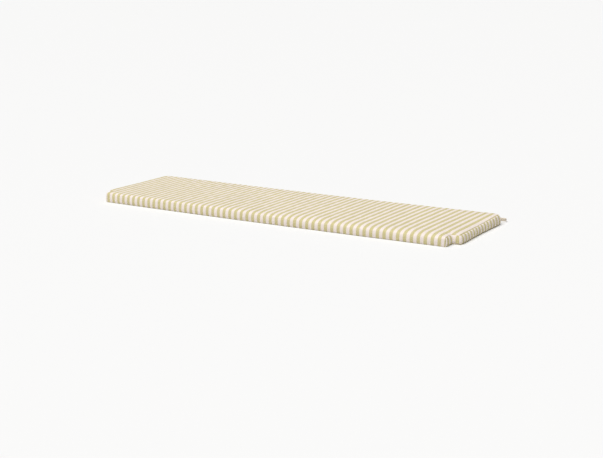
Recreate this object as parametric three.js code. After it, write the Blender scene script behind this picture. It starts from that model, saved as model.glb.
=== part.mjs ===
// Long, thin bench cushion with a cut-out at each front corner and a tape tie at each back corner.
// Millimetres, +Z up. The origin is under the middle of the cushion: X along its length, Y towards its back.
import * as THREE from 'three';

// Driving dimensions of the cushion
const LENGTH = 1512;
const END_DEPTH = 430;
const FRONT_BOW = 8;
const BACK_DRAW_IN = 10;
const END_DRAW_IN = 3;
const FLAT_HEIGHT = 38.4;
const SHOULDER_REACH = 36;
const CROWN = 0.6;
const CROWN_REACH = 140;

// Cut-outs at the front corners
const CUT_LENGTH = 31;
const CUT_DEPTH = 50;

// Corner radii in plan
const FRONT_RADIUS = 9;
const END_RADIUS = 17;
const INNER_RADIUS = 5;
const BACK_RADIUS = 32;

// Ties
const TAPE_WIDTH = 10;
const TAPE_THICKNESS = 1.4;
const TAPE_STEPS = 64;

// Facets
const LONG_STEPS = 36;
const DEPTH_STEPS = 14;
const DEPTH_EASE = 0.6;
const CORNER_STEPS = { end: 4, shelf: 2, inner: 3, cheek: 2, front: 4, back: 6 };
const BACK_SPACING = 6;

// Edges of the plan, worked out from the driving dimensions
const HALF_LENGTH = LENGTH / 2;
const BACK_Y = (END_DEPTH + FRONT_BOW) / 2;
const FRONT_Y = BACK_Y - END_DEPTH;
const CUT_X = HALF_LENGTH - CUT_LENGTH;
const CUT_Y = FRONT_Y + CUT_DEPTH;

// Edge profile, a row for each line round the cushion from the top down to the underside.
// front, strip: how far the line stands outside the plan on the front face and on the side strip,
// crisp, soft: its height above the underside where the edge is crisp and where it is softly rounded.
// The strip's upper and lower seams are grooves.
const EDGE_ROWS = [
  { front: -15.0, strip: -15.0, crisp: 37.6, soft: 33.9 },
  { front: -11.4, strip: -11.7, crisp: 37.2, soft: 32.6 },
  { front: -8.2, strip: -9.8, crisp: 36.4, soft: 31.2 },
  { front: -5.6, strip: -6.4, crisp: 35.1, soft: 29.7 },
  { front: -3.6, strip: -4.8, crisp: 32.7, soft: 28.2 },
  { front: -2.4, strip: -3.6, crisp: 29.4, soft: 26.5 },
  { front: -1.5, strip: -2.4, crisp: 26.0, soft: 24.3 },
  { front: -0.8, strip: -1.3, crisp: 22.0, soft: 21.3 },
  { front: -0.2, strip: -0.4, crisp: 17.2, soft: 17.0 },
  { front: 0.0, strip: 0.0, crisp: 12.0, soft: 12.0 },
  { front: -0.4, strip: -0.6, crisp: 7.0, soft: 7.0 },
  { front: -1.2, strip: -1.7, crisp: 4.2, soft: 4.2 },
  { front: -2.1, strip: -3.4, crisp: 2.4, soft: 2.4 },
  { front: -3.4, strip: -3.2, crisp: 0.8, soft: 0.8 },
  { front: -5.0, strip: -5.0, crisp: 0.0, soft: 0.0 },
];
const TOP_INSET = -EDGE_ROWS[0].front;

// The front corners are tight: the edge profile narrows there, and widens again over a short reach
const TIGHT_SHARE = 0.5;
const TIGHT_REACH = 40;

// The edge is crisp towards the left end and soft towards the right end, and less soft along the back
const SOFT_ALONG = { from: -450, to: 250 };
const SOFT_ACROSS = { from: 0, to: 180 };
const SOFT_BACK_SHARE = 0.2;

// Route of the right tie from its sewn end, along the back, round a loose bend and along behind the cushion.
// x: past the cushion's end, y: behind the back corner's line, z: middle of the tape's width,
// turn: degrees from standing on edge (0) to lying flat (90).
const TIE_ROUTE = [
  { x: -66.0, y: 0.1, z: 15.0, turn: 0 },
  { x: -55.0, y: 0.4, z: 15.0, turn: 0 },
  { x: -44.0, y: 0.7, z: 15.0, turn: 0 },
  { x: -33.0, y: 1.15, z: 14.6, turn: 0 },
  { x: -21.0, y: 2.1, z: 13.8, turn: 0 },
  { x: -10.0, y: 5.0, z: 12.4, turn: 0 },
  { x: -2.0, y: 13.0, z: 10.6, turn: 0 },
  { x: 1.0, y: 24.0, z: 8.6, turn: 2 },
  { x: -2.0, y: 35.0, z: 6.9, turn: 5 },
  { x: -10.0, y: 43.0, z: 5.8, turn: 9 },
  { x: -21.0, y: 46.2, z: 5.25, turn: 14 },
  { x: -34.0, y: 47.4, z: 5.0, turn: 24 },
  { x: -48.0, y: 47.6, z: 4.5, turn: 38 },
  { x: -62.0, y: 47.2, z: 3.6, turn: 54 },
  { x: -76.0, y: 46.2, z: 2.5, turn: 70 },
  { x: -90.0, y: 45.0, z: 1.4, turn: 84 },
  { x: -104.0, y: 44.0, z: 0.85, turn: 90 },
  { x: -119.0, y: 43.4, z: 0.85, turn: 90 },
  { x: -134.0, y: 43.2, z: 0.85, turn: 90 },
];

const clamp = THREE.MathUtils.clamp;
const lerp = THREE.MathUtils.lerp;
const smoothstep = THREE.MathUtils.smoothstep;

// Points on a round corner of the plan, from one angle to another in degrees
function corner(x, y, radius, from, to, steps) {
  return Array.from({ length: steps + 1 }, (_, i) => {
    const angle = THREE.MathUtils.degToRad(lerp(from, to, i / steps));
    return new THREE.Vector2(x + radius * Math.cos(angle), y + radius * Math.sin(angle));
  });
}

// Points evenly spaced between two points, both left out
function between(a, b, steps) {
  return Array.from({ length: steps - 1 }, (_, i) => a.clone().lerp(b, (i + 1) / steps));
}

// Share of the depth at a step from front to back, with closer steps at the edges
function depthShare(step) {
  const share = step / DEPTH_STEPS;
  return share - (DEPTH_EASE * Math.sin(2 * Math.PI * share)) / (2 * Math.PI);
}

// Bow of a long edge: 0 at its ends and 1 in its middle
function bow(x, reach) {
  return 1 - (x / reach) ** 2;
}

// Front edge of the left half's corner: round the end, along the cut-out and round to the front face
function leftFrontCorner() {
  const n = CORNER_STEPS;
  const end = corner(-HALF_LENGTH + END_RADIUS, CUT_Y + END_RADIUS, END_RADIUS, 180, 270, n.end);
  const inner = corner(-CUT_X - INNER_RADIUS, CUT_Y - INNER_RADIUS, INNER_RADIUS, 90, 0, n.inner);
  const front = corner(-CUT_X + FRONT_RADIUS, FRONT_Y + FRONT_RADIUS, FRONT_RADIUS, 180, 270, n.front);
  return [
    ...end,
    ...between(end.at(-1), inner[0], n.shelf),
    ...inner,
    ...between(inner.at(-1), front[0], n.cheek),
    ...front,
  ];
}

// Back edge of the left half's corner, with as many points as the front edge has there
function leftBackCorner(count) {
  const round = corner(-HALF_LENGTH + BACK_RADIUS, BACK_Y - BACK_RADIUS, BACK_RADIUS, 180, 90, CORNER_STEPS.back);
  const straight = Array.from({ length: count - round.length }, (_, i) =>
    new THREE.Vector2(-HALF_LENGTH + BACK_RADIUS + (i + 1) * BACK_SPACING, BACK_Y));
  return [...round, ...straight];
}

// Whole long edge: a left corner, a straight middle and the corner mirrored
function longEdge(left) {
  const mirrored = left.map((p) => new THREE.Vector2(-p.x, p.y)).reverse();
  return [...left, ...between(left.at(-1), mirrored[0], LONG_STEPS), ...mirrored];
}

// The plan: front and back edges with their bow and draw-in, and the closed ring that runs round them
function plan() {
  const leftFront = leftFrontCorner();
  const front = longEdge(leftFront);
  const back = longEdge(leftBackCorner(leftFront.length));
  const frontReach = CUT_X - FRONT_RADIUS;
  const backReach = HALF_LENGTH - BACK_RADIUS;
  for (const p of front) {
    p.y -= Math.abs(p.x) < frontReach ? FRONT_BOW * bow(p.x, frontReach) : 0;
  }
  for (const p of back) {
    p.y -= Math.abs(p.x) < backReach ? BACK_DRAW_IN * bow(p.x, backReach) : 0;
  }
  const rightEnd = Array.from({ length: DEPTH_STEPS - 1 }, (_, i) => {
    const share = depthShare(i + 1);
    const p = front.at(-1).clone().lerp(back.at(-1), share);
    p.x -= END_DRAW_IN * Math.sin(Math.PI * share) ** 2;
    return p;
  });
  const leftEnd = rightEnd.map((p) => new THREE.Vector2(-p.x, p.y)).reverse();
  return { columns: front.length, ring: [...front, ...rightEnd, ...back.reverse(), ...leftEnd] };
}

// Outward directions of a ring that runs anticlockwise seen from above
function outward(ring) {
  return ring.map((p, i) => {
    const before = ring.at(i - 1);
    const after = ring[(i + 1) % ring.length];
    const along = p.clone().sub(before).normalize().add(after.clone().sub(p).normalize());
    return new THREE.Vector2(along.y, -along.x).normalize();
  });
}

// Share of the side strip at a point of the ring: 0 on the front face, 1 on the cut-outs, the ends and the back
function stripShare(p) {
  const onFront = p.y < FRONT_Y + FRONT_RADIUS ? 1 : 0;
  const towardsCorner = clamp((Math.abs(p.x) - (CUT_X - FRONT_RADIUS)) / FRONT_RADIUS, 0, 1);
  return 1 - onFront * (1 - towardsCorner);
}

// Share of the edge profile's width at a point of the ring, smaller beside the tight front corners
function profileShare(p) {
  const fromCorner = Math.hypot(Math.abs(p.x) - CUT_X + FRONT_RADIUS, p.y - FRONT_Y - FRONT_RADIUS);
  return lerp(TIGHT_SHARE, 1, smoothstep(fromCorner, FRONT_RADIUS, TIGHT_REACH));
}

// How soft the edge is at a place in plan: 0 crisp, 1 softly rounded
function softness(x, y) {
  const along = smoothstep(x, SOFT_ALONG.from, SOFT_ALONG.to);
  return along * lerp(1, SOFT_BACK_SHARE, smoothstep(y, SOFT_ACROSS.from, SOFT_ACROSS.to));
}

// Height of an edge line at a place in plan
function edgeHeight(row, x, y) {
  return lerp(row.crisp, row.soft, softness(x, y));
}

// Height of the top: over a short shoulder it rises from every edge to the flat, and on to a slight crown
function topHeight(x, y) {
  const frontEdge = FRONT_Y - FRONT_BOW * clamp(bow(x, CUT_X), 0, 1) + TOP_INSET;
  const backEdge = BACK_Y - BACK_DRAW_IN * clamp(bow(x, HALF_LENGTH), 0, 1) - TOP_INSET;
  const fromCutX = Math.max(CUT_X - TOP_INSET - Math.abs(x), 0);
  const fromCutY = Math.max(y - CUT_Y - TOP_INSET, 0);
  const distances = [
    y - frontEdge,
    backEdge - y,
    HALF_LENGTH - TOP_INSET - Math.abs(x),
    Math.hypot(fromCutX, fromCutY),
  ];
  const rise = (reach) =>
    distances.reduce((product, distance) => product * (1 - (1 - clamp(distance / reach, 0, 1)) ** 2), 1);
  const edge = edgeHeight(EDGE_ROWS[0], x, y);
  return edge + (FLAT_HEIGHT - edge) * rise(SHOULDER_REACH) + CROWN * rise(CROWN_REACH);
}

function meshGeometry(points, triangles) {
  const geometry = new THREE.BufferGeometry();
  geometry.setAttribute('position', new THREE.Float32BufferAttribute(points.flat(), 3));
  geometry.setIndex(triangles.flat());
  geometry.computeVertexNormals();
  return geometry;
}

// The filled solid: edge lines carried round the plan, a crowned top and a flat underside
function cushionGeometry() {
  const { columns, ring } = plan();
  const count = ring.length;
  const directions = outward(ring);
  const points = [];
  const triangles = [];

  for (const row of EDGE_ROWS) {
    ring.forEach((p, i) => {
      const out = lerp(row.front, row.strip, stripShare(p)) * profileShare(p);
      const at = p.clone().addScaledVector(directions[i], out);
      points.push([at.x, at.y, edgeHeight(row, p.x, p.y)]);
    });
  }
  for (let row = 0; row + 1 < EDGE_ROWS.length; row += 1) {
    for (let i = 0; i < count; i += 1) {
      const upper = row * count + i;
      const upperNext = row * count + ((i + 1) % count);
      triangles.push([upper, upper + count, upperNext + count], [upper, upperNext + count, upperNext]);
    }
  }

  // Top: each column runs from a point of the front edge to its partner on the back edge
  const frontIndex = (column) => column;
  const backIndex = (column) => 2 * columns + DEPTH_STEPS - 2 - column;
  const top = Array.from({ length: columns }, (_, column) => {
    const front = points[frontIndex(column)];
    const back = points[backIndex(column)];
    return Array.from({ length: DEPTH_STEPS + 1 }, (_, step) => {
      if (step === 0) return frontIndex(column);
      if (step === DEPTH_STEPS) return backIndex(column);
      if (column === 0) return (count - step) % count;
      if (column === columns - 1) return columns - 1 + step;
      const x = lerp(front[0], back[0], depthShare(step));
      const y = lerp(front[1], back[1], depthShare(step));
      points.push([x, y, topHeight(x, y)]);
      return points.length - 1;
    });
  });
  for (let column = 0; column + 1 < columns; column += 1) {
    for (let step = 0; step < DEPTH_STEPS; step += 1) {
      const [a, b] = [top[column][step], top[column + 1][step]];
      const [c, d] = [top[column + 1][step + 1], top[column][step + 1]];
      triangles.push([a, b, c], [a, c, d]);
    }
  }

  const lowest = (EDGE_ROWS.length - 1) * count;
  const contour = ring.map((_, i) => new THREE.Vector2(points[lowest + i][0], points[lowest + i][1]));
  for (const [a, b, c] of THREE.ShapeUtils.triangulateShape(contour, [])) {
    triangles.push([lowest + a, lowest + c, lowest + b]);
  }
  return meshGeometry(points, triangles);
}

// A flat tape carried along its route; side is 1 for the right tie and -1 for the left one
function tapeGeometry(side) {
  const route = new THREE.CatmullRomCurve3(
    TIE_ROUTE.map((row) => new THREE.Vector3(side * (HALF_LENGTH + row.x), BACK_Y + row.y, row.z)));
  const points = [];
  const triangles = [];
  for (let step = 0; step <= TAPE_STEPS; step += 1) {
    const at = step / TAPE_STEPS;
    const place = at * (TIE_ROUTE.length - 1);
    const row = Math.min(Math.floor(place), TIE_ROUTE.length - 2);
    const turn = lerp(TIE_ROUTE[row].turn, TIE_ROUTE[row + 1].turn, place - row);
    const along = route.getTangent(at);
    const level = new THREE.Vector3(-along.y, along.x, 0).normalize();
    const across = new THREE.Vector3(0, 0, 1).applyAxisAngle(along, THREE.MathUtils.degToRad(side * turn));
    const through = level.applyAxisAngle(along, THREE.MathUtils.degToRad(side * turn));
    for (const [wide, thick] of [[1, 1], [1, -1], [-1, -1], [-1, 1]]) {
      const p = route.getPoint(at);
      p.addScaledVector(across, (wide * TAPE_WIDTH) / 2);
      p.addScaledVector(through, (thick * TAPE_THICKNESS) / 2);
      points.push(p.toArray());
    }
  }
  // Both broad faces are split along the same diagonal, so the twisted tape keeps its thickness
  for (let step = 0; step < TAPE_STEPS; step += 1) {
    for (let i = 0; i < 4; i += 1) {
      const a = step * 4 + i;
      const b = step * 4 + ((i + 1) % 4);
      const [c, d] = [b + 4, a + 4];
      triangles.push(...(i < 2 ? [[a, b, c], [a, c, d]] : [[a, b, d], [b, c, d]]));
    }
  }
  const last = TAPE_STEPS * 4;
  triangles.push([0, 2, 1], [0, 3, 2], [last, last + 1, last + 2], [last, last + 2, last + 3]);
  return meshGeometry(points, triangles);
}

const stripedCloth = new THREE.MeshStandardMaterial({ color: 0xe6dcb4, roughness: 0.9, metalness: 0 });
const tapeCloth = new THREE.MeshStandardMaterial({ color: 0xeee6d4, roughness: 0.92, metalness: 0 });

function namedMesh(name, geometry, material) {
  const mesh = new THREE.Mesh(geometry, material);
  mesh.name = name;
  return mesh;
}

const benchCushion = new THREE.Group();
benchCushion.add(namedMesh('cushion', cushionGeometry(), stripedCloth));
benchCushion.add(namedMesh('tie_left', tapeGeometry(-1), tapeCloth));
benchCushion.add(namedMesh('tie_right', tapeGeometry(1), tapeCloth));

export default benchCushion;
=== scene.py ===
"""Long striped bench cushion: a foam-filled cover whose striped main panel runs over the top, down the
front and under, with a striped side strip on the cut-outs, ends and back, and a tape tie at each back
corner. Metres, +Z up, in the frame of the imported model."""

import bpy
import numpy as np
from mathutils import Matrix, Vector


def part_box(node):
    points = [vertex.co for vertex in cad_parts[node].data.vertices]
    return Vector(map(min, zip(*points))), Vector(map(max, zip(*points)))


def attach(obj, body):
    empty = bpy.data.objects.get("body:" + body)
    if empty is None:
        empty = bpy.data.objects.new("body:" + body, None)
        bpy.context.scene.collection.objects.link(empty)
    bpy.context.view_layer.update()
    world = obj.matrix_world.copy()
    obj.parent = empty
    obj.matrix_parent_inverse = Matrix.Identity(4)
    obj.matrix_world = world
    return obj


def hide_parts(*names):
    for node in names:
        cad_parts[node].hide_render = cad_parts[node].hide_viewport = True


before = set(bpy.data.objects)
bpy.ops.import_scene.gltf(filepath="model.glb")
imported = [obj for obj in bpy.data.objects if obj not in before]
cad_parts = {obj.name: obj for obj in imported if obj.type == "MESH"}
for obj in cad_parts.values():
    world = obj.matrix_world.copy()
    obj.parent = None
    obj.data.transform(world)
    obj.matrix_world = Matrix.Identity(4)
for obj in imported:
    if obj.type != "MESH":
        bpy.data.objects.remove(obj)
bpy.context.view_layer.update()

MM = 0.001

# Driving dimensions, from the frame and from the cushion's plan
cushion_low, cushion_high = (np.array(corner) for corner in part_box("cushion"))
FRONT_BOW = 0.008
BACK_DRAW_IN = 0.010
END_DRAW_IN = 0.003
SHOULDER_REACH = 0.036
CROWN = 0.0006
CROWN_REACH = 0.140
CUT_LENGTH = 0.031
CUT_DEPTH = 0.050
FRONT_RADIUS = 0.009
END_RADIUS = 0.017
INNER_RADIUS = 0.005
BACK_RADIUS = 0.032
HALF_LENGTH = cushion_high[0]
BACK_Y = cushion_high[1]
FRONT_Y = cushion_low[1] + FRONT_BOW
FLAT_HEIGHT = cushion_high[2] - CROWN
CUT_X = HALF_LENGTH - CUT_LENGTH
CUT_Y = FRONT_Y + CUT_DEPTH

# Edge profile from the top down to the underside, in millimetres. front, strip: how far the line stands
# outside the plan on the front face and on the side strip. crisp, soft: its height where the edge is crisp
# and where it is softly rounded
EDGE_ROWS = np.array([
    # front, strip, crisp, soft
    (-15.0, -15.0, 37.6, 33.9),
    (-11.4, -11.7, 37.2, 32.6),
    (-8.2, -8.8, 36.4, 31.2),
    (-5.6, -6.4, 35.1, 29.7),
    (-3.6, -4.8, 32.7, 28.2),
    (-2.4, -3.6, 29.4, 26.5),
    (-1.5, -2.4, 26.0, 24.3),
    (-0.8, -1.3, 22.0, 21.3),
    (-0.2, -0.4, 17.2, 17.0),
    (0.0, 0.0, 12.0, 12.0),
    (-0.4, -0.6, 7.0, 7.0),
    (-1.2, -1.7, 4.2, 4.2),
    (-2.1, -2.6, 2.4, 2.4),
    (-3.4, -3.4, 0.8, 0.8),
    (-5.0, -5.0, 0.0, 0.0),
]) * MM
TOP_INSET = -EDGE_ROWS[0, 0]

# Rows of the profile that the strip's seams lie on, steps to a row, and extra rows beside each seam
SEAM_ROW = 2
LOWER_SEAM_ROW = 12
ROW_STEPS = 2
SEAM_ROW_SHARES = (-0.26, -0.12, 0.12, 0.26)

# The front corners are tight: the edge profile narrows there. The edge is crisp towards the left end and
# soft towards the right end, and less soft along the back
TIGHT_SHARE = 0.5
TIGHT_REACH = 0.040
SOFT_ALONG = (-0.450, 0.250)
SOFT_ACROSS = (0.0, 0.180)
SOFT_BACK_SHARE = 0.2

# Slight waves of the top, in millimetres and turns
TOP_WAVES = np.array([
    # height, length along, length across, phase
    (0.32, 430.0, 610.0, 0.13),
    (0.24, 173.0, -390.0, 0.41),
    (0.14, 96.0, 240.0, 0.77),
    (0.08, 61.0, -133.0, 0.29),
])

# Seams: depth and width of their grooves, and how far they take to run out
SEAM_DEPTH = 0.0016
SEAM_WIDTH = 0.0011
SEAM_RUN_OUT = 0.004

# The strip's white stripes stand out as soft ribs with narrow valleys, uneven along the strip, lower at the
# back than at the ends, and fading beside the seams
RIB = 0.0018
RIB_VALLEY_SHARE = 0.25
RIB_UNEVEN_SHARE = 0.2
RIB_UNEVEN_LENGTH = 0.143
RIB_BACK_SHARE = 0.5
RIB_FADE = (0.001, 0.008)

# Finer puckers lie beside the strip's seams, as two waves whose lengths wander
PUCKER = 0.0005
PUCKER_REACH = 0.006
PUCKER_START = 0.002
PUCKER_WAVES = np.array([
    # share, length, wander, length of the wander
    (0.6, 0.023, 0.35, 0.190),
    (0.4, 0.037, 0.30, 0.270),
])

# Steps of the top and the underside along each side of the plan, closer together at the corners, and how
# often their points are evened out. The edge has twice as many steps
STEPS = {"front": 252, "cheek": 16, "shelf": 12, "end": 68}
STEPS["back"] = STEPS["front"] + 2 * STEPS["shelf"]
EDGE_STEPS = {side: 2 * steps for side, steps in STEPS.items()}
CROWDING = 1.5
CROWDING_REACH = 0.012
PANEL_PASSES = 60

# Cloth settling over the filling: how firmly the foam holds it and presses it out, its spare size and its
# weight at a point, how much lower the top starts, the steps of settling and how fine they are, the most
# that a point may move, and how often the movement is evened out
FOAM_HOLD = 0.15
FOAM_PRESSURE = 4
SPARE_CLOTH = 0.005
POINT_WEIGHT = 0.1
SWELL = 0.001
SETTLE_FRAMES = 20
SETTLE_QUALITY = 3
SETTLE_CAP = 0.003
SETTLE_PASSES = 3

# Striped cloth: stripe repeat, half of a yellow stripe and its soft edge as shares of the repeat, and where
# a yellow stripe's middle lies on the top and on the right end
STRIPE_REPEAT = 0.02513
STRIPE_HALF = 0.25
STRIPE_EDGE = 0.012
TOP_STRIPE_X = -0.0040
END_STRIPE_Y = -0.143

# Yarns of the striped cloth: spacing, colours, how flat a yarn's crossing is and how softly it ends, how
# many thick and thin places a metre of yarn has, and how far they shift from one yarn to the next
YARN = 0.0009
WHITE_YARN = (0.86, 0.765, 0.71, 1)
YELLOW_YARN = (0.56, 0.495, 0.175, 1)
YARN_FLATNESS = 0.35
YARN_CROSSING = 0.3
SLUBS = 35.0
SLUB_STEP = 3.7

# Tape and thread: spacing of the tape's slanting ribs and of its yarns, length of one turn of the thread's
# plies, and the darkest and palest colours of both. Their darker end paints the shade in the hollows between
# ribs, yarns and plies
TAPE_RIB = 0.0012
TAPE_YARN = 0.0006
THREAD_TURN = 0.0004
TAPE_COLOURS_WITH_PAINTED_SHADE = (0.56, 0.48, 0.37, 1), (0.80, 0.72, 0.60, 1)
THREAD_SHADED_AND_LIT_COLOURS = (0.60, 0.54, 0.44, 1), (0.86, 0.81, 0.72, 1)

# Ties: width, thickness and how square the tape's section is across and through. Route of the right one, in
# millimetres, from its sewn end. x: past the cushion's end, y: behind the back corner's line, z: middle of
# the tape's width, turn: degrees from standing on edge to lying flat
TAPE_WIDTH = 0.010
TAPE_THICKNESS = 0.0014
TAPE_SQUARE_ACROSS = 0.7
TAPE_SQUARE_THROUGH = 0.45
TIE_ROUTE = np.array([
    # x, y, z, turn
    (-66.0, 0.1, 15.0, 0),
    (-55.0, 0.4, 15.0, 0),
    (-44.0, 0.7, 15.0, 0),
    (-33.0, 1.15, 14.6, 0),
    (-21.0, 2.1, 13.8, 0),
    (-10.0, 5.0, 12.4, 0),
    (-2.0, 13.0, 10.6, 0),
    (1.0, 24.0, 8.6, 2),
    (-2.0, 35.0, 6.9, 5),
    (-10.0, 43.0, 5.8, 9),
    (-21.0, 46.2, 5.25, 14),
    (-34.0, 47.4, 5.0, 24),
    (-48.0, 47.6, 4.5, 38),
    (-62.0, 47.2, 3.6, 54),
    (-76.0, 46.2, 2.5, 70),
    (-90.0, 45.0, 1.4, 84),
    (-104.0, 44.0, 0.85, 90),
    (-119.0, 43.4, 0.85, 90),
    (-134.0, 43.2, 0.85, 90),
])

# How far a tie's sewn end is pressed onto the cloth and over what run, its hem, and how thin its ends are
ROOT_PRESS = 0.00035
ROOT_PRESS_RUN = (0.010, 0.030)
HEM_LENGTH = 0.008
HEM_EASE = 0.001
HEM_SWELL = 0.4
END_THIN = 0.55

# Stitches of a tie: length, spacing and radius, and in radii how far one arches, how deep its ends sink and
# how thin they are. Rows of stitches, in millimetres. along: from the sewn end, or if negative from the free
# end, across: from the tape's middle, number: how many, lengthways: 1 along the tape and 0 across it
STITCH_LENGTH = 0.0017
STITCH_PITCH = 0.0022
STITCH_RADIUS = 0.00028
STITCH_ARCH = 1.1
STITCH_SINK = 0.6
STITCH_THIN = 0.55
STITCH_ROWS = np.array([
    # along, across, number, lengthways
    (1.6, -3.6, 5, 1),
    (1.6, 3.6, 5, 1),
    (1.2, -3.1, 3, 0),
    (12.6, -3.1, 3, 0),
    (-6.5, -4.2, 4, 0),
])

# Camera: where it stands, how it is turned in degrees, and its focal length on a 36 mm wide sensor
CAMERA_PLACE = (2.1625, -3.5345, 0.8937)
CAMERA_YAW = -30.922
CAMERA_PITCH = 13.033
CAMERA_ROLL = 0.064
CAMERA_LENS = 67.39
SENSOR_WIDTH = 36.0

# Floor: tone, reach and how far it lies under the cushion
FLOOR_TONE = 0.79
FLOOR_REACH = 60.0
FLOOR_DROP = 0.0003

# Light: the surround's colour and strength, and the soft key's strength, width in degrees and the direction
# that it comes from
SURROUND_COLOUR = (1.0, 0.99, 0.97, 1)
SURROUND = 0.31
KEY_STRENGTH = 3.1
KEY_WIDTH = 50.0
KEY_FROM = (-0.05, -0.42, 1.0)


def arc(x, y, radius, start, stop, steps=24):
    """Points on a circle about (x, y), evenly from one angle to another in degrees."""
    angle = np.radians(np.linspace(start, stop, steps + 1))
    return np.stack([x + radius * np.cos(angle), y + radius * np.sin(angle)], axis=-1)


def lengths_along(points):
    """Distance of each point from the first, measured along the line of points."""
    return np.concatenate([[0], np.cumsum(np.linalg.norm(np.diff(points, axis=0), axis=1))])


def points_at(points, at):
    """The line of points again, at the given distances along it."""
    along = lengths_along(points)
    return np.stack([np.interp(at, along, column) for column in points.T], axis=-1)


def evenly(points, steps):
    """The line of points again, with steps of equal length."""
    return points_at(points, np.linspace(0, lengths_along(points)[-1], steps + 1))


def crowded(points, steps):
    """The line of points again, with steps that shrink towards both ends: equal steps of the running sum of a
    density that is one plus a falling exponential of the distance to the nearer end."""
    along = lengths_along(points)
    density = 1 + CROWDING * np.exp(-np.minimum(along, along[-1] - along) / CROWDING_REACH)
    running = np.concatenate([[0], np.cumsum(np.diff(along) * (density[1:] + density[:-1]) / 2)])
    return points_at(points, np.interp(np.linspace(0, running[-1], steps + 1), running, along))


def curve_through(rows, place):
    """A smooth line through rows of values, at places counted in rows: cubic pieces whose slope at a row is
    half of the step between its two neighbours, with the end rows carried on straight."""
    padded = np.vstack([2 * rows[0] - rows[1], rows, 2 * rows[-1] - rows[-2]])
    piece = np.minimum(place.astype(int), len(rows) - 2)
    t = (place - piece)[:, None]
    a, b, c, d = (padded[piece + k] for k in range(4))
    squared, cubed = 2 * a - 5 * b + 4 * c - d, 3 * b - a - 3 * c + d
    return 0.5 * (2 * b + (c - a) * t + squared * t ** 2 + cubed * t ** 3)


def bow(x, reach):
    """Bow of a long edge: a parabola that is 1 in the middle and 0 from the reach outwards."""
    return np.clip(1 - (x / reach) ** 2, 0, 1)


def smooth(value, low, high):
    """Smooth step from 0 at low to 1 at high."""
    t = np.clip((value - low) / (high - low), 0, 1)
    return t * t * (3 - 2 * t)


def plan_ring():
    """The outline in plan, anticlockwise from the middle of the left front corner. Each side is two arcs
    and the straight between them, bowed or drawn in by a parabola or a squared sine, and then spaced."""
    def front_corner(side, start, stop):
        return arc(side * (CUT_X - FRONT_RADIUS), FRONT_Y + FRONT_RADIUS, FRONT_RADIUS, start, stop)

    def back_corner(side, start, stop):
        return arc(side * (HALF_LENGTH - BACK_RADIUS), BACK_Y - BACK_RADIUS, BACK_RADIUS, start, stop)

    def side_of(*pieces, fine=2400):
        return evenly(np.vstack(pieces), fine)

    inner = (CUT_X + INNER_RADIUS, CUT_Y - INNER_RADIUS, INNER_RADIUS)
    end_corner = (HALF_LENGTH - END_RADIUS, CUT_Y + END_RADIUS, END_RADIUS)
    front = side_of(front_corner(-1, 225, 270), front_corner(1, 270, 315))
    cheek = side_of(front_corner(1, 315, 360), arc(*inner, 180, 135))
    shelf = side_of(arc(*inner, 135, 90), arc(*end_corner, 270, 315))
    end = side_of(arc(*end_corner, 315, 360), back_corner(1, 0, 45))
    back = side_of(back_corner(1, 45, 90), back_corner(-1, 90, 135))

    front[:, 1] -= FRONT_BOW * bow(front[:, 0], CUT_X - FRONT_RADIUS)
    back[:, 1] -= BACK_DRAW_IN * bow(back[:, 0], HALF_LENGTH - BACK_RADIUS)
    end_straight = BACK_Y - BACK_RADIUS - CUT_Y - END_RADIUS
    share = np.clip((end[:, 1] - CUT_Y - END_RADIUS) / end_straight, 0, 1)
    end[:, 0] -= END_DRAW_IN * np.sin(np.pi * share) ** 2

    right = [(cheek, EDGE_STEPS["cheek"]), (shelf, EDGE_STEPS["shelf"]), (end, EDGE_STEPS["end"])]
    left = [(side[::-1] * (-1, 1), steps) for side, steps in right[::-1]]
    sides = [(front, EDGE_STEPS["front"]), *right, (back, EDGE_STEPS["back"]), *left]
    return np.vstack([crowded(side, steps)[:-1] for side, steps in sides])


def outward(ring):
    """Directions that point out of an anticlockwise ring: square to the mean of the steps behind and ahead
    of each point, each step's direction weighted by the other step's length."""
    ahead = np.roll(ring, -1, axis=0) - ring
    squared = np.sum(ahead ** 2, axis=1, keepdims=True)
    behind, squared_behind = np.roll(ahead, 1, axis=0), np.roll(squared, 1, axis=0)
    along = ahead / squared + behind / squared_behind
    out = np.stack([along[:, 1], -along[:, 0]], axis=-1)
    return out / np.linalg.norm(out, axis=1, keepdims=True)


def softness(x, y):
    """How soft the edge is at a place in plan, 0 crisp to 1 soft: a smooth step along the cushion, less
    towards the back by another."""
    return smooth(x, *SOFT_ALONG) * (1 - (1 - SOFT_BACK_SHARE) * smooth(y, *SOFT_ACROSS))


def tightness(x, y):
    """How much of the edge profile's reach is kept at a place in plan: a smooth step of the distance from
    the nearer front corner's centre."""
    from_corner = np.hypot(np.abs(x) - CUT_X + FRONT_RADIUS, y - FRONT_Y - FRONT_RADIUS)
    return TIGHT_SHARE + (1 - TIGHT_SHARE) * smooth(from_corner, FRONT_RADIUS, TIGHT_REACH)


def profile_rows():
    """The edge profile with finer rows: a smooth line through the table's rows, with extra rows beside the
    seams. Gives the fine rows and the places of the two seams among them."""
    seams = np.array([SEAM_ROW, LOWER_SEAM_ROW])
    even = np.arange(0, len(EDGE_ROWS) - 1 + 1 / ROW_STEPS, 1 / ROW_STEPS)
    place = np.unique(np.concatenate([even, *(seams + share for share in SEAM_ROW_SHARES)]))
    return curve_through(EDGE_ROWS, place), np.searchsorted(place, seams)


def strip_share(along):
    """How far each point of the ring lies past the nearer front corner, along the outline, and its share of
    the side strip: a smooth step of that distance."""
    place = along[:-1]
    past_corner = np.minimum(place - along[EDGE_STEPS["front"]], along[-1] - place)
    return past_corner, smooth(past_corner, 0, SEAM_RUN_OUT)


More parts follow.
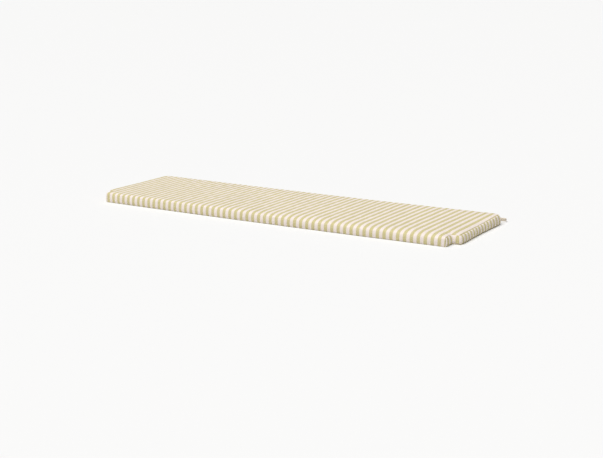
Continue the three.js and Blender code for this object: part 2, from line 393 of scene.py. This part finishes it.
def strip_relief(ring, along, strip_along, down, seams):
    """How far the edge stands out from its profile. The seams are sunk by narrow bell curves. Between them
    the strip's white stripes stand out by two cosines that leave narrow valleys, and beside them two sines
    of wandering length pucker the cloth."""
    place = along[:-1]
    past_corner, strip = strip_share(along)
    from_seams = np.abs(down - down[seams][:, None])
    between_seams = (down > down[seams[0]]) & (down < down[seams[1]])

    share, length, wander, wander_length = PUCKER_WAVES.T[:, :, None]
    turns = place / length + wander * np.sin(2 * np.pi * place / wander_length)
    wave = (share * np.sin(2 * np.pi * turns)).sum(axis=0)
    beside = np.exp(-(from_seams / PUCKER_REACH) ** 2) * np.clip(from_seams / PUCKER_START, 0, 1)

    full = np.prod(smooth(from_seams, *RIB_FADE), axis=0) * between_seams
    uneven = 1 - RIB_UNEVEN_SHARE + RIB_UNEVEN_SHARE * np.sin(2 * np.pi * place / RIB_UNEVEN_LENGTH)
    at_back = smooth(ring[:, 1], BACK_Y - BACK_RADIUS, BACK_Y - BACK_RADIUS / 2)
    turn = 2 * np.pi * (strip_along - TOP_STRIPE_X) / STRIPE_REPEAT
    rib = -(np.cos(turn) + RIB_VALLEY_SHARE * np.cos(2 * turn))
    rib = rib * uneven * (1 - (1 - RIB_BACK_SHARE) * at_back)

    sunk = np.exp(-(from_seams / SEAM_WIDTH) ** 2).sum(axis=0)
    corner = np.exp(-(np.minimum(np.abs(past_corner), place) / SEAM_WIDTH) ** 2) * between_seams
    relief = strip * (RIB * full * rib + PUCKER * beside.sum(axis=0) * wave - SEAM_DEPTH * sunk)
    return (relief - SEAM_DEPTH * corner * (1 - strip * sunk)) * smooth(down, 0, SEAM_RUN_OUT)


def edge_rings(ring, along, strip_along):
    """The edge profile carried round the plan: row k of point i lies along the outward direction by the
    profile's distance, a blend of the front's and the strip's, narrowed beside the tight front corners, and
    then along the profile's own normal by the strip's relief. Gives the points, their distances down the
    profile, their shares of the strip and the rows of its two seams."""
    rows, seams = profile_rows()
    x, y = ring.T
    strip = strip_share(along)[1]
    front_out, strip_out, crisp, soft = rows.T[:, :, None]
    out = (front_out + (strip_out - front_out) * strip) * tightness(x, y)
    height = crisp + (soft - crisp) * softness(x, y)
    steps = np.hypot(np.diff(out, axis=0), np.diff(height, axis=0))
    down = np.vstack([np.zeros(len(ring)), np.cumsum(steps, axis=0)])

    relief = strip_relief(ring, along, strip_along, down, seams)
    slope_out, slope_height = np.gradient(out, axis=0), np.gradient(height, axis=0)
    steep = np.hypot(slope_out, slope_height)
    out, height = out - relief * slope_height / steep, height + relief * slope_out / steep
    flat = ring + outward(ring) * out[:, :, None]
    return np.dstack([flat, np.maximum(height, 0)]), down, strip, seams


def top_rise(x, y, reach):
    """Rise of the top from its edges: the product, over the front, the back, the ends and the cut-outs, of
    one less the squared remainder of the distance to the reach."""
    inset = TOP_INSET * tightness(x, y)
    front_edge = FRONT_Y - FRONT_BOW * bow(x, CUT_X) + inset
    back_edge = BACK_Y - BACK_DRAW_IN * bow(x, HALF_LENGTH) - TOP_INSET
    from_cut = np.hypot(np.maximum(CUT_X - inset - np.abs(x), 0), np.maximum(y - CUT_Y - inset, 0))
    distances = np.stack([y - front_edge, back_edge - y, HALF_LENGTH - TOP_INSET - np.abs(x), from_cut])
    return np.prod(1 - (1 - np.clip(distances / reach, 0, 1)) ** 2, axis=0)


def top_height(x, y):
    """Height of the top: from the edge over a short shoulder to the flat, with a slight crown and slight
    waves, each a sine along a slanting direction."""
    edge = EDGE_ROWS[0, 2] + (EDGE_ROWS[0, 3] - EDGE_ROWS[0, 2]) * softness(x, y)
    height, along, across, phase = TOP_WAVES.T[:, :, None]
    turns = x / (along * MM) + y / (across * MM) + phase
    flat = FLAT_HEIGHT - SWELL + (height * MM * np.sin(2 * np.pi * turns)).sum(axis=0)
    return edge + (flat - edge) * top_rise(x, y, SHOULDER_REACH) + CROWN * top_rise(x, y, CROWN_REACH)


def ring_cells():
    """Column and row of the panel grid at each point of the ring. The grid's columns are counted along the
    cushion and its rows from front to back, and the two front corners of the grid are the cut-outs."""
    first, last = STEPS["shelf"], STEPS["shelf"] + STEPS["front"]
    columns, shelf_row = STEPS["back"], STEPS["cheek"]
    rows = shelf_row + STEPS["end"]

    def run(start, stop):
        return np.arange(start, stop) if stop > start else np.arange(start, stop, -1)

    sides = [
        (run(first, last), 0),
        (last, run(0, shelf_row)),
        (run(last, columns), shelf_row),
        (columns, run(shelf_row, rows)),
        (run(columns, 0), rows),
        (0, run(rows, shelf_row)),
        (run(0, first), shelf_row),
        (first, run(shelf_row, 0)),
    ]
    pairs = [np.broadcast_arrays(column, row) for column, row in sides]
    return np.concatenate([p[0] for p in pairs]), np.concatenate([p[1] for p in pairs])


def fill_block(block):
    """Fills a block of points from its four sides: the sum of the two ruled surfaces between opposite sides,
    less the bilinear surface through the corners, by the mean share of length along opposite sides."""
    def share(*sides):
        lengths = np.array([lengths_along(side) for side in sides])
        return (lengths / lengths[:, -1:]).mean(axis=0)

    u = share(block[:, 0], block[:, -1])[:, None, None]
    v = share(block[0], block[-1])[None, :, None]
    across = (1 - u) * block[:1] + u * block[-1:]
    deep = (1 - v) * block[:, :1] + v * block[:, -1:]
    corners = ((1 - u) * (1 - v) * block[0, 0] + u * (1 - v) * block[-1, 0]
               + (1 - u) * v * block[0, -1] + u * v * block[-1, -1])
    block[1:-1, 1:-1] = (across + deep - corners)[1:-1, 1:-1]


def fill_panel(edge, edge_ids, first_id):
    """Fills a ring with quads: a block between the cut-outs and a block behind them, each from its sides,
    then evened out by the mean of each point's four neighbours. Gives the new points in plan and the quads,
    anticlockwise seen from above."""
    columns, rows = ring_cells()
    first, last = STEPS["shelf"], STEPS["shelf"] + STEPS["front"]
    shelf_row = STEPS["cheek"]
    shape = (STEPS["back"] + 1, shelf_row + STEPS["end"] + 1)
    points = np.zeros((*shape, 2))
    points[columns, rows] = edge
    between_cuts = points[first:last + 1]
    front_x = between_cuts[:, :1, 0]
    front_share = (front_x - front_x[0]) / np.ptp(front_x)
    left, right = points[first, shelf_row], points[last, shelf_row]
    between_cuts[:, shelf_row] = left * (1 - front_share) + right * front_share
    fill_block(between_cuts[:, :shelf_row + 1])
    fill_block(points[:, shelf_row:])

    kept = np.ones(shape, bool)
    kept[:first, :shelf_row] = kept[last + 1:, :shelf_row] = False
    inside = kept.copy()
    inside[columns, rows] = False
    for _ in range(PANEL_PASSES):
        around = sum(np.roll(points, step, axis) for axis in (0, 1) for step in (1, -1)) / 4
        points[inside] = around[inside]
    ids = np.full(shape, -1)
    ids[columns, rows] = edge_ids
    ids[inside] = first_id + np.arange(inside.sum())
    quads = np.stack([ids[:-1, :-1], ids[1:, :-1], ids[1:, 1:], ids[:-1, 1:]], axis=-1).reshape(-1, 4)
    return points[inside], quads[(quads >= 0).all(axis=1)]


def widening(coarse, fine):
    """Triangles between a ring of points and a lower ring with twice as many, three for each coarse step."""
    following, even, odd = np.roll(coarse, -1), fine[::2], fine[1::2]
    threes = (coarse, even, odd), (coarse, odd, following), (following, odd, np.roll(even, -1))
    return np.vstack([np.stack(three, axis=-1) for three in threes])


def cover_shape():
    """The whole cover: edge rings, top and underside. Gives its points, its faces without and with the
    underside, each face corner's place on the flat cloth, and how firmly each point is held while the cover
    settles."""
    ring = plan_ring()
    along = lengths_along(np.vstack([ring, ring[:1]]))
    end_start = EDGE_STEPS["front"] + EDGE_STEPS["cheek"] + EDGE_STEPS["shelf"]
    right_end = slice(end_start, end_start + EDGE_STEPS["end"])
    yellow_at = np.interp(END_STRIPE_Y, ring[right_end, 1], along[:-1][right_end])
    strip_along = np.concatenate([along[-1:], along[1:-1]]) - yellow_at + TOP_STRIPE_X
    rings, down, strip, (seam, lower_seam) = edge_rings(ring, along, strip_along)

    # Points: the edge, with every second point left out beside the top and the underside, then both panels
    used = np.ones(rings.shape[:2], bool)
    used[[0, -1], 1::2] = False
    ids = np.full(used.shape, -1)
    ids[used] = np.arange(used.sum())
    top, top_quads = fill_panel(rings[0, ::2, :2], ids[0, ::2], used.sum())
    under, under_quads = fill_panel(rings[-1, ::2, :2], ids[-1, ::2], used.sum() + len(top))
    points = np.vstack([
        rings[used],
        np.column_stack([top, top_height(*top.T)]),
        np.column_stack([under, np.zeros(len(under))]),
    ])
    upper, lower = ids[1:-2], ids[2:-1]
    wall = np.stack([upper, lower, np.roll(lower, -1, axis=1), np.roll(upper, -1, axis=1)], axis=-1)

    # Main panel laid flat: the edge unrolls straight outwards from the top's plan, and from the underside's
    # plan below the strip's lower seam. Strip laid flat: along the outline, and up
    out = outward(ring)
    from_top = rings[0, :, :2] + out * down[:, :, None]
    from_under = rings[-1, :, :2] + out * (down[-1] - down)[:, :, None]
    upright = np.dstack([np.broadcast_to(strip_along, down.shape), -down])
    ways = (from_top, upright, from_under)
    main_flat, strip_flat, under_flat = (np.vstack([way[used], top, under]) for way in ways)

    row, place = np.indices(wall.shape[:2])
    beside_strip = place >= EDGE_STEPS["front"]
    in_strip = beside_strip & (row + 1 >= seam) & (row + 1 < lower_seam)
    below_strip = beside_strip & (row + 1 >= lower_seam)
    groups = [
        (wall[~in_strip & ~below_strip], main_flat),
        (wall[in_strip], strip_flat),
        (wall[below_strip], under_flat),
        (widening(ids[0, ::2], ids[1]), main_flat),
        (widening(ids[-1, ::2], ids[-2])[:, ::-1], under_flat),
        (top_quads, main_flat),
        (under_quads[:, ::-1], under_flat),
    ]
    faces = [corners.tolist() for corners, laid in groups]
    flat = np.concatenate([laid[corners].reshape(-1, 2) for corners, laid in groups])

    # The seams and the lower edge are held fast
    held = np.full(used.sum() + len(top), FOAM_HOLD)
    held[ids[seam][strip > 0]] = 1
    held[ids[lower_seam:][used[lower_seam:]]] = 1
    return points, sum(faces[:-1], []), sum(faces, []), flat, held


def mesh_object(name, points, faces, flat, material):
    """A smooth mesh object with each face corner's flat cloth place in a UV map."""
    mesh = bpy.data.meshes.new(name)
    mesh.from_pydata(points.tolist(), [], faces)
    mesh.materials.append(material)
    layer = mesh.uv_layers.new(name="cloth")
    layer.data.foreach_set("uv", flat.astype(np.float32).ravel())
    mesh.shade_smooth()
    mesh.update()
    obj = bpy.data.objects.new(name, mesh)
    bpy.context.scene.collection.objects.link(obj)
    return obj


def settle(points, faces, held):
    """Lets the cover settle as cloth over its filling: cut a little too large, pressed outwards, held softly
    by the foam and fast at the seams. Gives how far each point moves, evened out a few times over by the
    mean of its neighbours and capped by a hyperbolic tangent."""
    mesh = bpy.data.meshes.new("settling")
    mesh.from_pydata(points.tolist(), [], faces)
    cover = bpy.data.objects.new("settling", mesh)
    scene = bpy.context.scene
    scene.collection.objects.link(cover)
    group = cover.vertex_groups.new(name="held")
    for weight in np.unique(held):
        group.add(np.flatnonzero(held == weight).tolist(), float(weight), "REPLACE")
    cloth = cover.modifiers.new("cloth", "CLOTH")
    cloth.settings.vertex_group_mass = group.name
    cloth.settings.use_pressure = True
    cloth.settings.uniform_pressure_force = FOAM_PRESSURE
    cloth.settings.effector_weights.gravity = 0
    cloth.settings.quality = SETTLE_QUALITY
    cloth.settings.mass = POINT_WEIGHT
    cloth.settings.shrink_min = -SPARE_CLOTH
    cloth.collision_settings.use_collision = False
    for step in range(1, SETTLE_FRAMES + 1):
        scene.frame_set(step)
    settled = np.empty(points.size)
    cover.evaluated_get(bpy.context.evaluated_depsgraph_get()).data.vertices.foreach_get("co", settled)
    move = settled.reshape(-1, 3) - points
    edges = np.empty(len(mesh.edges) * 2, int)
    mesh.edges.foreach_get("vertices", edges)
    first, second = edges.reshape(-1, 2).T
    for _ in range(SETTLE_PASSES):
        total = np.zeros_like(move)
        np.add.at(total, first, move[second])
        np.add.at(total, second, move[first])
        around = total / np.bincount(edges)[:, None]
        move = np.where(held[:, None] == 1, 0, (move + around) / 2)
    length = np.linalg.norm(move, axis=1, keepdims=True)
    scene.frame_set(1)
    bpy.data.objects.remove(cover)
    bpy.data.meshes.remove(mesh)
    return move * SETTLE_CAP * np.tanh(length / SETTLE_CAP) / np.maximum(length, 1e-9)


def tie_lines(side, steps=170):
    """A tie's path, the direction across its width and the direction out of its outer face, at each step.
    The tape stands on edge at first and is turned about its route as the route says, and its sewn end is
    pressed onto the cloth. side is 1 for the right tie and -1 for the left one."""
    x, y, z, turn = curve_through(TIE_ROUTE, np.linspace(0, len(TIE_ROUTE) - 1, steps + 1)).T
    path = np.column_stack([side * (HALF_LENGTH + x * MM), BACK_Y + y * MM, z * MM])
    along = np.gradient(path, axis=0)
    along /= np.linalg.norm(along, axis=1, keepdims=True)
    level = side * np.column_stack([-along[:, 1], along[:, 0], np.zeros(len(path))])
    level /= np.linalg.norm(level, axis=1, keepdims=True)
    upright = side * np.cross(along, level)
    turn = np.radians(side * turn)[:, None]
    across = upright * np.cos(turn) + np.cross(along, upright) * np.sin(turn)
    out = level * np.cos(turn) + np.cross(along, level) * np.sin(turn)
    path[:, 1] -= ROOT_PRESS * (1 - smooth(lengths_along(path), *ROOT_PRESS_RUN))
    return path, across, out


def tube_faces(rings, count):
    """Faces of rings of points joined one after the other, with both ends closed: a quad for each cell and
    one face for each end. Each ring runs clockwise seen from the rings that follow it."""
    ids = np.arange(rings * count).reshape(rings, count)
    following = np.roll(ids, -1, axis=1)
    quads = np.stack([ids[:-1], ids[1:], following[1:], following[:-1]], axis=-1).reshape(-1, 4)
    return [*quads.tolist(), ids[0].tolist(), ids[-1, ::-1].tolist()]


def tie_tape(name, side, lines, material, count=24):
    """A flat tape: a squared oval, powers of a cosine and a sine, carried along the tie's path. It is thicker
    at its hemmed free end, and both ends are rounded off."""
    path, across, out = lines
    run = lengths_along(path)
    hem = HEM_SWELL * smooth(run[-1] - run, HEM_LENGTH + HEM_EASE, HEM_LENGTH - HEM_EASE)
    from_end = np.minimum(run, run[-1] - run)
    rounding = END_THIN + (1 - END_THIN) * smooth(from_end, 0, TAPE_THICKNESS)
    angle = side * np.linspace(0, 2 * np.pi, count, endpoint=False)
    cosine, sine = np.cos(angle), np.sin(angle)
    wide = np.sign(cosine) * np.abs(cosine) ** TAPE_SQUARE_ACROSS * TAPE_WIDTH / 2
    thick = np.sign(sine) * np.abs(sine) ** TAPE_SQUARE_THROUGH * TAPE_THICKNESS / 2
    thick = thick * ((1 + hem) * rounding)[:, None] + (hem * TAPE_THICKNESS / 2)[:, None]
    rings = path[:, None] + across[:, None] * wide[:, None] + out[:, None] * thick[:, :, None]
    flat = np.column_stack([np.repeat(run, count), np.tile(wide, len(run))])
    faces = tube_faces(len(run), count)
    return mesh_object(name, rings.reshape(-1, 3), faces, flat[np.concatenate(faces)], material)


def tie_stitches(name, lines, material, rings=9, count=8):
    """The thread that sews a tie on and hems it: short arched tubes on the tape's outer face, in a box at
    the sewn end and in a row across the hem. Each tube's centre rises by a sine and its radius swells with
    it."""
    path, across, out = lines
    run = lengths_along(path)
    number = STITCH_ROWS[:, 2].astype(int)
    start_run, start_wide, _, lengthways = np.repeat(STITCH_ROWS, number, axis=0).T[:, :, None]
    start_run = start_run * MM + run[-1] * (start_run < 0)
    t = np.linspace(0, 1, rings)
    onwards = np.concatenate([np.arange(n) for n in number])[:, None] * STITCH_PITCH + t * STITCH_LENGTH
    at = start_run + lengthways * onwards
    wide = start_wide * MM + (1 - lengthways) * onwards

    def taken(values):
        return np.stack([np.interp(at, run, column) for column in values.T], axis=-1)

    face = TAPE_THICKNESS / 2 * (1 + 2 * HEM_SWELL * (at > run[-1] - HEM_LENGTH))
    arch = np.sin(np.pi * t)
    lift = face + STITCH_RADIUS * (STITCH_ARCH * arch - STITCH_SINK)
    centre = taken(path) + taken(across) * wide[:, :, None] + taken(out) * lift[:, :, None]
    along = np.gradient(centre, axis=1)
    along /= np.linalg.norm(along, axis=2, keepdims=True)
    up = taken(out)
    beside = np.cross(along, up)
    angle = np.linspace(0, 2 * np.pi, count, endpoint=False)[:, None]
    radius = STITCH_RADIUS * (STITCH_THIN + (1 - STITCH_THIN) * arch)[:, None, None]
    around = beside[:, :, None] * np.cos(angle) + up[:, :, None] * np.sin(angle)
    points = centre[:, :, None] + radius * around
    one = tube_faces(rings, count)
    faces = [[corner + k * rings * count for corner in face] for k in range(len(points)) for face in one]
    flat = np.column_stack([np.repeat(t * STITCH_LENGTH, count), np.tile(angle[:, 0], rings)])
    flat = np.tile(flat[np.concatenate(one)], (len(points), 1))
    return mesh_object(name, points.reshape(-1, 3), faces, flat, material)


def node_kit(name):
    """A new material, its surface, and three short ways to fill it: a node with its inputs, a sum worked out
    by a node, and a value or a link put into a socket."""
    material = bpy.data.materials.new(name)
    material.use_nodes = True
    tree = material.node_tree

    def put(socket, value):
        if isinstance(value, bpy.types.NodeSocket):
            tree.links.new(value, socket)
        else:
            socket.default_value = value

    def node(kind, settings=None, **inputs):
        made = tree.nodes.new(kind)
        for key, value in (settings or {}).items():
            setattr(made, key, value)
        for key, value in inputs.items():
            put(made.inputs[key.replace("_", " ")], value)
        return made

    def calc(operation, *values):
        made = tree.nodes.new("ShaderNodeMath")
        made.operation = operation
        for socket, value in zip(made.inputs, values):
            put(socket, value)
        return made.outputs[0]

    return material, tree.nodes["Principled BSDF"], node, calc, put


def striped_cloth():
    """Plain-woven cloth: warp and weft yarns that pass over each other in turn, by the sign of the product of
    two sines. The weft is white, and bands of the warp are white and yellow in turn."""
    material, surface, node, calc, put = node_kit("striped_cloth")
    place = node("ShaderNodeUVMap", {"uv_map": "cloth"})
    split = node("ShaderNodeSeparateXYZ", Vector=place.outputs["UV"])
    u, v = split.outputs["X"], split.outputs["Y"]
    yarn_u, yarn_v = calc("DIVIDE", u, YARN), calc("DIVIDE", v, YARN)
    wave_u = calc("SINE", calc("MULTIPLY", yarn_u, np.pi))
    wave_v = calc("SINE", calc("MULTIPLY", yarn_v, np.pi))
    over = calc("MULTIPLY", wave_u, wave_v)
    warp_over = node("ShaderNodeMapRange", {"interpolation_type": "SMOOTHSTEP"}, Value=over,
                     From_Min=-YARN_CROSSING, From_Max=YARN_CROSSING).outputs["Result"]
    high_u, high_v = calc("ABSOLUTE", wave_u), calc("ABSOLUTE", wave_v)
    warp_height = calc("MULTIPLY", high_u, calc("POWER", high_v, YARN_FLATNESS))
    weft_height = calc("MULTIPLY", high_v, calc("POWER", high_u, YARN_FLATNESS))

    # Yarns are a little uneven along their length, and the whole cloth a little uneven in tone
    def slubs(x, y, z):
        where = node("ShaderNodeCombineXYZ", X=x, Y=y, Z=z)
        return node("ShaderNodeTexNoise", Vector=where.outputs[0], Scale=1.0, Detail=1.0).outputs["Fac"]

    warp_yarn = calc("MULTIPLY", calc("FLOOR", yarn_u), SLUB_STEP)
    weft_yarn = calc("MULTIPLY", calc("FLOOR", yarn_v), SLUB_STEP)
    warp_tone = slubs(warp_yarn, calc("MULTIPLY", v, SLUBS), 0.0)
    weft_tone = slubs(calc("MULTIPLY", u, SLUBS), weft_yarn, 9.0)
    cloth_tone = node("ShaderNodeTexNoise", Vector=place.outputs["UV"], Scale=7.0, Detail=3.0).outputs["Fac"]

    def mixed(share, first, second, kind="RGBA", blend="MIX"):
        made = node("ShaderNodeMix", {"data_type": kind, "blend_type": blend})
        first_socket, second_socket, result = {"RGBA": (6, 7, 2), "FLOAT": (2, 3, 0)}[kind]
        put(made.inputs[0], share)
        put(made.inputs[first_socket], first)
        put(made.inputs[second_socket], second)
        return made.outputs[result]

    yarn_middle = calc("MULTIPLY", calc("ADD", calc("FLOOR", yarn_u), 0.5), YARN / STRIPE_REPEAT)
    turn = calc("FRACT", calc("ADD", yarn_middle, 0.5 - TOP_STRIPE_X / STRIPE_REPEAT))
    from_middle = calc("ABSOLUTE", calc("SUBTRACT", turn, 0.5))
    in_stripe = node("ShaderNodeMapRange", {"interpolation_type": "SMOOTHSTEP"}, Value=from_middle,
                     From_Min=STRIPE_HALF + STRIPE_EDGE,
                     From_Max=STRIPE_HALF - STRIPE_EDGE).outputs["Result"]
    warp_shows = node("ShaderNodeMapRange", Value=warp_over, To_Min=0.55, To_Max=1.0).outputs["Result"]
    colour = mixed(calc("MULTIPLY", in_stripe, warp_shows), WHITE_YARN, YELLOW_YARN)
    tone = mixed(warp_over, weft_tone, warp_tone, "FLOAT")
    yarn_shade = node("ShaderNodeMapRange", Value=tone, From_Min=0.3, From_Max=0.7,
                      To_Min=0.93, To_Max=1.04).outputs["Result"]
    cloth_shade = node("ShaderNodeMapRange", Value=cloth_tone, From_Min=0.3, From_Max=0.7,
                       To_Min=0.97, To_Max=1.02).outputs["Result"]
    height = mixed(warp_over, weft_height, warp_height, "FLOAT")
    # Painted shade: the colour is darkened where the yarns dip into the hollows of the weave, on top of the
    # yarns' random tone
    painted_hollow_shade = node("ShaderNodeMapRange", Value=height, To_Min=0.80, To_Max=1.04).outputs["Result"]
    tone_and_hollow_shade = calc("MULTIPLY", calc("MULTIPLY", yarn_shade, cloth_shade), painted_hollow_shade)
    shaded_grey = node("ShaderNodeCombineColor", Red=tone_and_hollow_shade, Green=tone_and_hollow_shade, Blue=tone_and_hollow_shade).outputs[0]
    put(surface.inputs["Base Color"], mixed(1.0, shaded_grey, colour, blend="MULTIPLY"))

    raised = calc("ADD", height, calc("MULTIPLY", tone, 0.6))
    bump = node("ShaderNodeBump", Strength=0.6, Distance=0.00022, Height=raised)
    put(surface.inputs["Normal"], bump.outputs["Normal"])
    rough = node("ShaderNodeMapRange", Value=tone, To_Min=0.82, To_Max=0.95).outputs["Result"]
    put(surface.inputs["Roughness"], rough)
    surface.inputs["Specular IOR Level"].default_value = 0.22
    surface.inputs["Sheen Weight"].default_value = 0.10
    surface.inputs["Sheen Roughness"].default_value = 0.45
    return material


def woven_tape():
    """Woven cotton tape: a sine of the run plus the distance from the middle makes slanting ribs that meet in
    a chevron, and a finer sine across makes its yarns."""
    material, surface, node, calc, put = node_kit("woven_tape")
    place = node("ShaderNodeUVMap", {"uv_map": "cloth"})
    split = node("ShaderNodeSeparateXYZ", Vector=place.outputs["UV"])
    run, wide = split.outputs["X"], split.outputs["Y"]
    slant = calc("ADD", run, calc("ABSOLUTE", wide))
    rib = calc("SINE", calc("MULTIPLY", slant, 2 * np.pi / TAPE_RIB))
    yarn = calc("SINE", calc("MULTIPLY", wide, 2 * np.pi / TAPE_YARN))
    height = calc("ADD", calc("MULTIPLY", rib, 0.6), calc("MULTIPLY", yarn, 0.25))
    noise = node("ShaderNodeTexNoise", Vector=place.outputs["UV"], Scale=260.0, Detail=3.0).outputs["Fac"]
    # Painted shade: the tone is random noise plus the rib and yarn height, so the colour is darker in their
    # hollows
    tone = calc("ADD", calc("MULTIPLY", height, 0.25), noise)
    ramp = node("ShaderNodeValToRGB", Fac=tone)
    for stop, position, colour in zip(ramp.color_ramp.elements, (0.2, 0.75), TAPE_COLOURS_WITH_PAINTED_SHADE):
        stop.position = position
        stop.color = colour
    put(surface.inputs["Base Color"], ramp.outputs["Color"])
    bump = node("ShaderNodeBump", Strength=0.6, Distance=0.0002, Height=height)
    put(surface.inputs["Normal"], bump.outputs["Normal"])
    rough = node("ShaderNodeMapRange", Value=noise, To_Min=0.82, To_Max=0.95).outputs["Result"]
    put(surface.inputs["Roughness"], rough)
    surface.inputs["Specular IOR Level"].default_value = 0.2
    surface.inputs["Sheen Weight"].default_value = 0.1
    return material


def sewing_thread():
    """Twisted thread: plies that wind round it as a slanting sine."""
    material, surface, node, calc, put = node_kit("sewing_thread")
    place = node("ShaderNodeUVMap", {"uv_map": "cloth"})
    split = node("ShaderNodeSeparateXYZ", Vector=place.outputs["UV"])
    along = calc("MULTIPLY", split.outputs["X"], 2 * np.pi / THREAD_TURN)
    ply = calc("SINE", calc("ADD", along, split.outputs["Y"]))
    # Painted shade: the colour follows the plies' height, darker in the grooves between them
    ramp = node("ShaderNodeValToRGB", Fac=calc("ADD", calc("MULTIPLY", ply, 0.5), 0.5))
    for stop, colour in zip(ramp.color_ramp.elements, THREAD_SHADED_AND_LIT_COLOURS):
        stop.color = colour
    put(surface.inputs["Base Color"], ramp.outputs["Color"])
    bump = node("ShaderNodeBump", Strength=0.5, Distance=0.00008, Height=ply)
    put(surface.inputs["Normal"], bump.outputs["Normal"])
    surface.inputs["Roughness"].default_value = 0.75
    return material


def add_floor():
    """A wide pale floor, just under the cushion."""
    material = bpy.data.materials.new("pale_floor")
    material.use_nodes = True
    surface = material.node_tree.nodes["Principled BSDF"]
    surface.inputs["Base Color"].default_value = (FLOOR_TONE, FLOOR_TONE, FLOOR_TONE, 1)
    surface.inputs["Roughness"].default_value = 0.9
    surface.inputs["Specular IOR Level"].default_value = 0.1
    signs = np.array([(-1, -1), (1, -1), (1, 1), (-1, 1)])
    corners = np.column_stack([FLOOR_REACH * signs, np.full(len(signs), -FLOOR_DROP)])
    floor = mesh_object("floor", corners, [[0, 1, 2, 3]], corners[:, :2], material)


def add_lights():
    """Soft studio light: an even surround and a wide key light from above the front."""
    world = bpy.data.worlds.new("studio")
    world.use_nodes = True
    background = world.node_tree.nodes["Background"]
    background.inputs["Color"].default_value = SURROUND_COLOUR
    background.inputs["Strength"].default_value = SURROUND
    bpy.context.scene.world = world
    data = bpy.data.lights.new("key", "SUN")
    data.energy = KEY_STRENGTH
    data.angle = np.radians(KEY_WIDTH)
    key = bpy.data.objects.new("key", data)
    key.rotation_euler = (-Vector(KEY_FROM)).to_track_quat("-Z", "Y").to_euler()
    bpy.context.scene.collection.objects.link(key)


def add_camera():
    """The camera from its place and turn: forward from yaw and pitch, then right and down, turned by the
    roll."""
    yaw, pitch, roll = np.radians([CAMERA_YAW, CAMERA_PITCH, CAMERA_ROLL])
    forward = np.array([np.sin(yaw) * np.cos(pitch), np.cos(yaw) * np.cos(pitch), -np.sin(pitch)])
    right = np.array([np.cos(yaw), -np.sin(yaw), 0.0])
    down = np.cross(forward, right)
    right, down = np.cos(roll) * right + np.sin(roll) * down, np.cos(roll) * down - np.sin(roll) * right
    data = bpy.data.cameras.new("camera")
    data.lens, data.sensor_width, data.sensor_fit = CAMERA_LENS, SENSOR_WIDTH, "HORIZONTAL"
    camera = bpy.data.objects.new("camera", data)
    turned = Matrix(np.column_stack([right, -down, -forward]).tolist()).to_4x4()
    camera.matrix_world = Matrix.Translation(CAMERA_PLACE) @ turned
    bpy.context.scene.collection.objects.link(camera)
    bpy.context.scene.camera = camera


def add_cover():
    """The filled cover in striped cloth."""
    points, free_faces, faces, flat, held = cover_shape()
    points[:len(held)] += settle(points[:len(held)], free_faces, held)
    cover = mesh_object("cushion_cover", points, faces, flat, striped_cloth())
    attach(cover, "root")
    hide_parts("cushion")


def add_ties():
    """Both tape ties, sewn to the back strip near the back corners, and their stitches."""
    tape_cloth, thread = woven_tape(), sewing_thread()
    for node_name, side in (("tie_right", 1), ("tie_left", -1)):
        lines = tie_lines(side)
        path = lines[0]
        tape = tie_tape(f"{node_name}_tape", side, lines, tape_cloth)
        stitches = tie_stitches(f"{node_name}_stitches", lines, thread)
        for piece in (tape, stitches):
            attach(piece, "root")
        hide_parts(node_name)
        tuple(path[0])
        float(lengths_along(path)[-1])


add_camera()
add_ties()
add_cover()
add_floor()
add_lights()
bpy.context.scene.view_settings.view_transform = "Standard"
